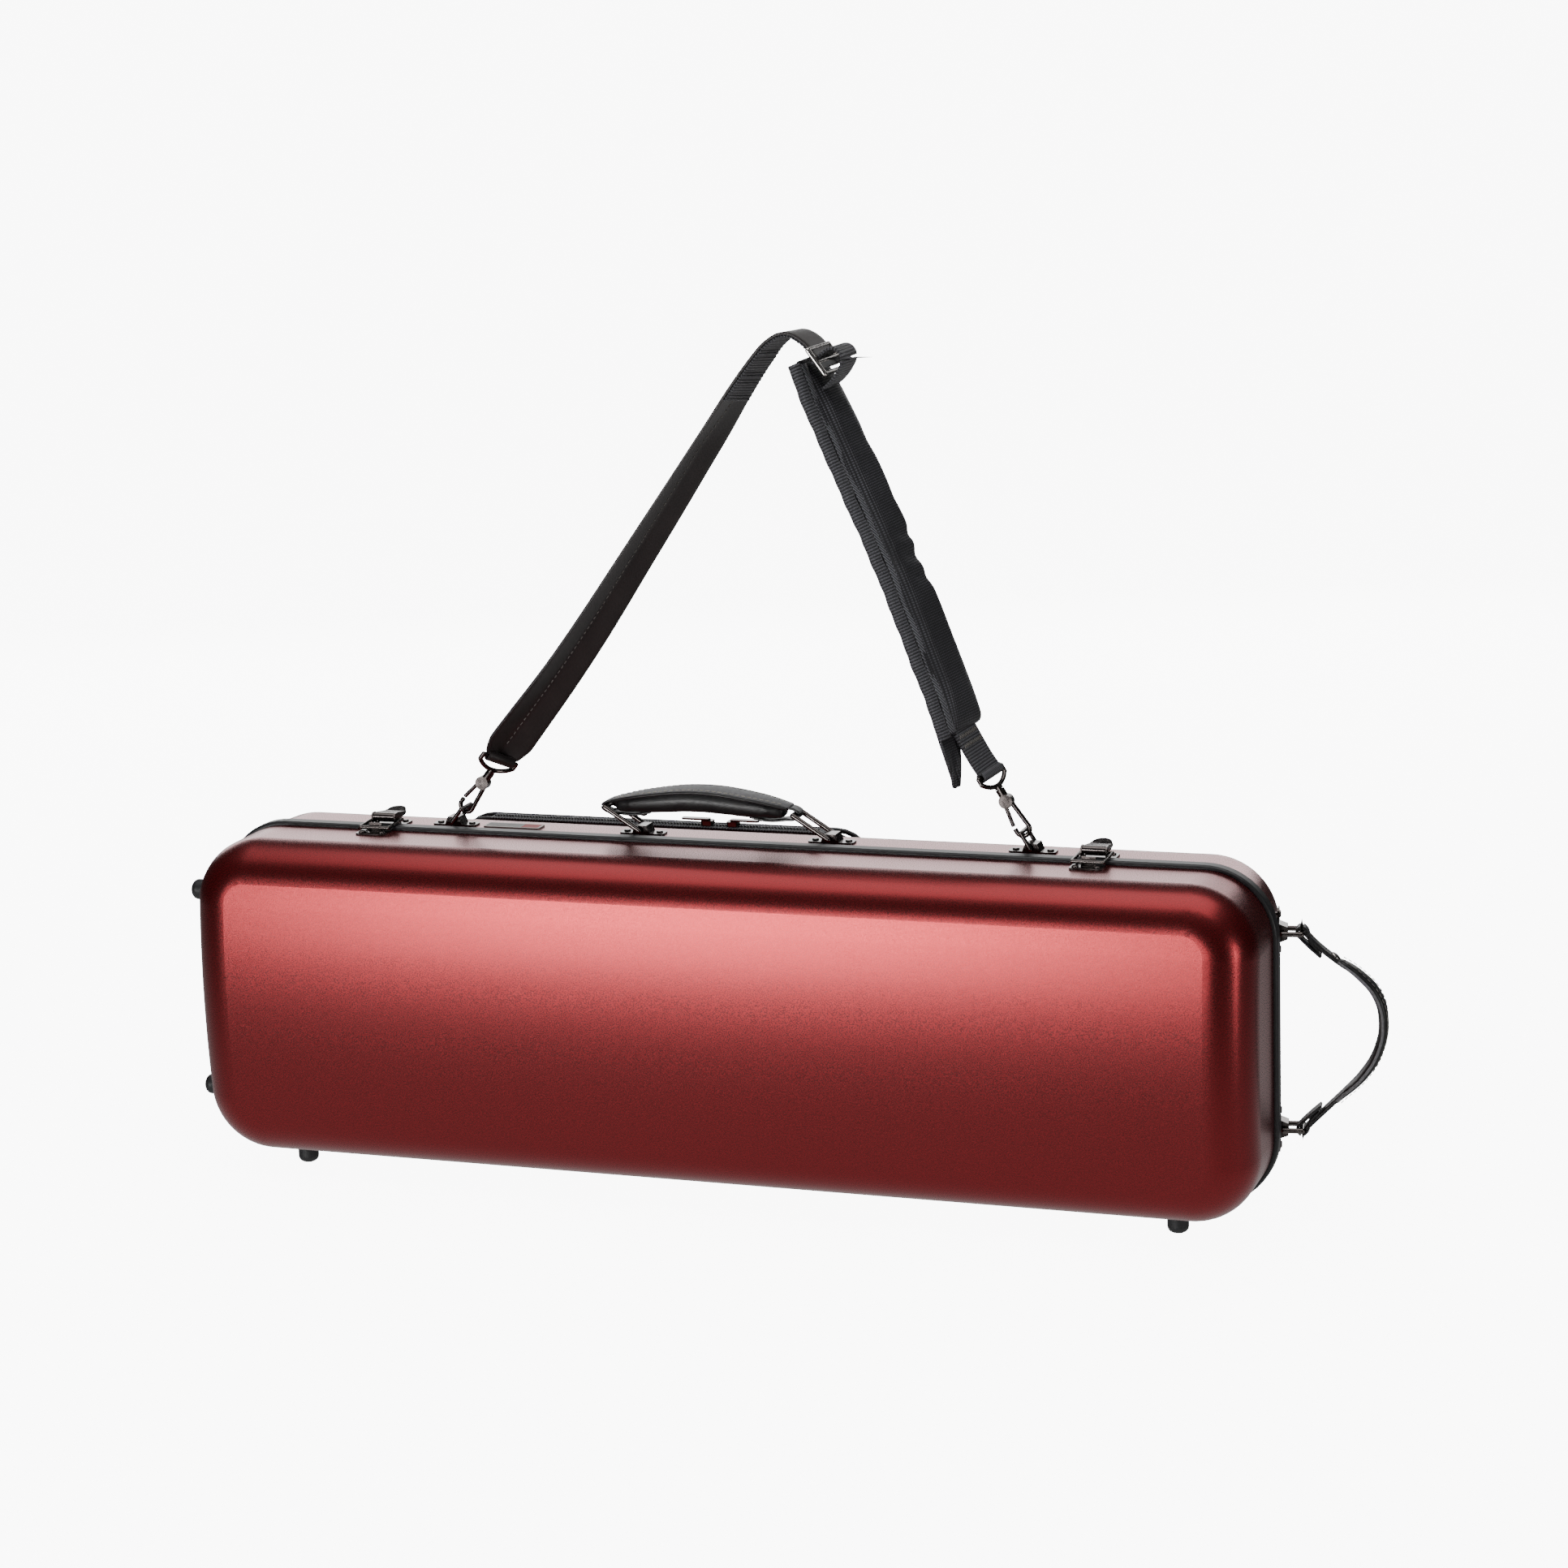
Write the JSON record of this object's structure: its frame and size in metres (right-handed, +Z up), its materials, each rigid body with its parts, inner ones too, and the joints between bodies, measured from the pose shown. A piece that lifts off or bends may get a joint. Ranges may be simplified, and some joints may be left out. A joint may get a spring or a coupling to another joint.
{
  "type": "violin case",
  "caption": "Oblong hard-shell violin case standing on its feet, with draw latches, carry handle, end handle, clip-on padded shoulder strap and fitted interior.",
  "frame": {"origin": "bottom centre of the bounding box, on the plane that the hinge-side feet stand on", "axes": "+X towards the end with the end handle, +Y towards the base half with the carry handle and rear pocket, -Y towards the lid, +Z up"},
  "size_m": [0.8746, 0.1759, 0.616],
  "materials": {
    "shell": "moulded composite sheet, metallic red with a fine satin grain",
    "band": "extruded black rubber, matt",
    "hardware": "black nickel plate on die-cast zinc and steel wire",
    "hinge_steel": "pressed and plated steel sheet",
    "leather": "padded black leather with cream stitching",
    "webbing": "woven black strap webbing",
    "pad_nylon": "black ballistic nylon with ribbed binding",
    "zip": "coil zip on woven tape",
    "velvet": "short-pile velour over foam",
    "moulded": "moulded black nylon",
    "badge": "blank two-tone plate with a bright rim"
  },
  "bodies": {
    "base": {"accessory_lid_pin": "hardware", "base_feet": "band", "base_foam": "velvet", "base_rivets": "hardware", "base_shell": "shell", "blank_badge": "badge", "end_brackets": "hardware", "handle_brackets": "hardware", "hinge_base_leaves": "hinge_steel", "hinge_pins": "hinge_steel", "latch_pins": "hardware", "latch_plates": "hardware", "neck_cradle": "velvet", "neck_tie": "webbing", "pocket_zip": "zip", "rear_pocket": "pad_nylon", "rim_seal": "band", "seam_band": "band", "shoulder_pad": "pad_nylon", "slide_buckle": "hardware", "snap_eye_left": "hardware", "snap_eye_right": "hardware", "snap_gate_pins": "hardware", "snap_hook_left": "hardware", "snap_hook_right": "hardware", "strap_brackets": "hardware", "strap_end_loop": "webbing", "strap_leg": "webbing", "strap_ring_left": "hardware", "strap_ring_right": "hardware"},
    "lid": {"lid_shell": "shell", "lid_lining": "velvet", "hinge_lid_leaves": "hinge_steel", "lid_rivets": "hardware", "keeper_plates": "hardware", "keeper_screws": "hardware", "lid_feet": "band", "bow_spinner_posts": "hardware", "bow_tip_pocket": "velvet"},
    "latch_lever_left": {"latch_lever_left": "hardware"},
    "latch_lever_right": {"latch_lever_right": "hardware"},
    "latch_bail_left": {"latch_bail_left": "hardware"},
    "latch_bail_right": {"latch_bail_right": "hardware"},
    "handle_ring_left": {"handle_ring_left": "hardware"},
    "handle_ring_right": {"handle_ring_right": "hardware"},
    "handle_grip": {"handle_grip": "leather"},
    "end_ring_upper": {"end_ring_upper": "hardware"},
    "end_ring_lower": {"end_ring_lower": "hardware"},
    "end_strap": {"end_strap": "leather"},
    "snap_gate_left": {"snap_gate_left": "hardware"},
    "snap_gate_right": {"snap_gate_right": "hardware"},
    "zip_slider_left": {"zip_slider_left": "hardware"},
    "zip_slider_right": {"zip_slider_right": "hardware"},
    "accessory_lid": {"accessory_lid": "velvet", "accessory_lid_tab": "webbing"},
    "bow_spinner_upper": {"bow_spinner_upper": "moulded"},
    "bow_spinner_lower": {"bow_spinner_lower": "moulded"}
  },
  "joints": [
    {"name": "lid_hinge", "type": "hinge", "parent": "base", "child": "lid", "pos_m": [-0.03026, -0.012, 0.0103], "axis": [1, 0, 0], "range_deg": [0, 100]},
    {"name": "latch_left", "type": "hinge", "parent": "base", "child": "latch_lever_left", "pos_m": [-0.29926, -0.002, 0.26], "axis": [1, 0, 0], "range_deg": [0, 120]},
    {"name": "latch_bail_left_pivot", "type": "hinge", "parent": "latch_lever_left", "child": "latch_bail_left", "pos_m": [-0.29926, 0.004, 0.257], "axis": [1, 0, 0], "range_deg": [-150, 0]},
    {"name": "latch_right", "type": "hinge", "parent": "base", "child": "latch_lever_right", "pos_m": [0.23874, -0.002, 0.26], "axis": [1, 0, 0], "range_deg": [0, 120]},
    {"name": "latch_bail_right_pivot", "type": "hinge", "parent": "latch_lever_right", "child": "latch_bail_right", "pos_m": [0.23874, 0.004, 0.257], "axis": [1, 0, 0], "range_deg": [-150, 0]},
    {"name": "carry_handle", "type": "hinge", "parent": "base", "child": "handle_ring_left", "pos_m": [-0.10226, 0.017, 0.2554], "axis": [0, 1, 0], "range_deg": [0, 116]},
    {"name": "carry_handle_right_ring", "type": "hinge", "parent": "base", "child": "handle_ring_right", "pos_m": [0.04174, 0.017, 0.2554], "axis": [0, 1, 0], "range_deg": [0, 116]},
    {"name": "carry_handle_grip", "type": "hinge", "parent": "handle_ring_left", "child": "handle_grip", "pos_m": [-0.12855, 0.017, 0.27183], "axis": [0, 1, 0], "range_deg": [-116, 0]},
    {"name": "end_handle", "type": "hinge", "parent": "base", "child": "end_ring_upper", "pos_m": [0.36541, 0.01753, 0.204], "axis": [-0.1564, 0.9877, 0], "range_deg": [-50, 50]},
    {"name": "end_handle_lower_ring", "type": "hinge", "parent": "base", "child": "end_ring_lower", "pos_m": [0.36541, 0.01753, 0.064], "axis": [-0.1564, 0.9877, 0], "range_deg": [-50, 50]},
    {"name": "end_handle_strap", "type": "hinge", "parent": "end_ring_upper", "child": "end_strap", "pos_m": [0.37825, 0.01957, 0.204], "axis": [-0.1564, 0.9877, 0], "range_deg": [-50, 50]},
    {"name": "snap_gate_left", "type": "hinge", "parent": "base", "child": "snap_gate_left", "pos_m": [-0.22895, 0.017, 0.28573], "axis": [0, 1, 0], "range_deg": [-15, 0], "stiffness_Nm_per_rad": 0.02, "springref_deg": 5.73},
    {"name": "snap_gate_right", "type": "hinge", "parent": "base", "child": "snap_gate_right", "pos_m": [0.16918, 0.017, 0.28624], "axis": [0, 1, 0], "range_deg": [-15, 0], "stiffness_Nm_per_rad": 0.02, "springref_deg": 5.73},
    {"name": "zip_left", "type": "slide", "parent": "base", "child": "zip_slider_left", "axis": [1, 0, 0], "range_m": [-0.166, 0]},
    {"name": "zip_right", "type": "slide", "parent": "base", "child": "zip_slider_right", "axis": [1, 0, 0], "range_m": [0, 0.066]},
    {"name": "accessory_lid_hinge", "type": "hinge", "parent": "base", "child": "accessory_lid", "pos_m": [0.09074, -0.0088, 0.176], "axis": [1, 0, 0], "range_deg": [0, 85]},
    {"name": "bow_spinner_upper", "type": "hinge", "parent": "lid", "child": "bow_spinner_upper", "pos_m": [0.26974, -0.07215, 0.164], "axis": [0, 1, 0], "range_deg": [0, 90]},
    {"name": "bow_spinner_lower", "type": "hinge", "parent": "lid", "child": "bow_spinner_lower", "pos_m": [0.26974, -0.07215, 0.104], "axis": [0, 1, 0], "range_deg": [0, 90]}
  ],
  "couplings": [
    {"joint": "latch_bail_left_pivot", "follows": "latch_left", "ratio": -1.25},
    {"joint": "latch_bail_right_pivot", "follows": "latch_right", "ratio": -1.25},
    {"joint": "carry_handle_right_ring", "follows": "carry_handle", "ratio": 1},
    {"joint": "carry_handle_grip", "follows": "carry_handle", "ratio": -1},
    {"joint": "end_handle_lower_ring", "follows": "end_handle", "ratio": 1},
    {"joint": "end_handle_strap", "follows": "end_handle", "ratio": -1}
  ]
}
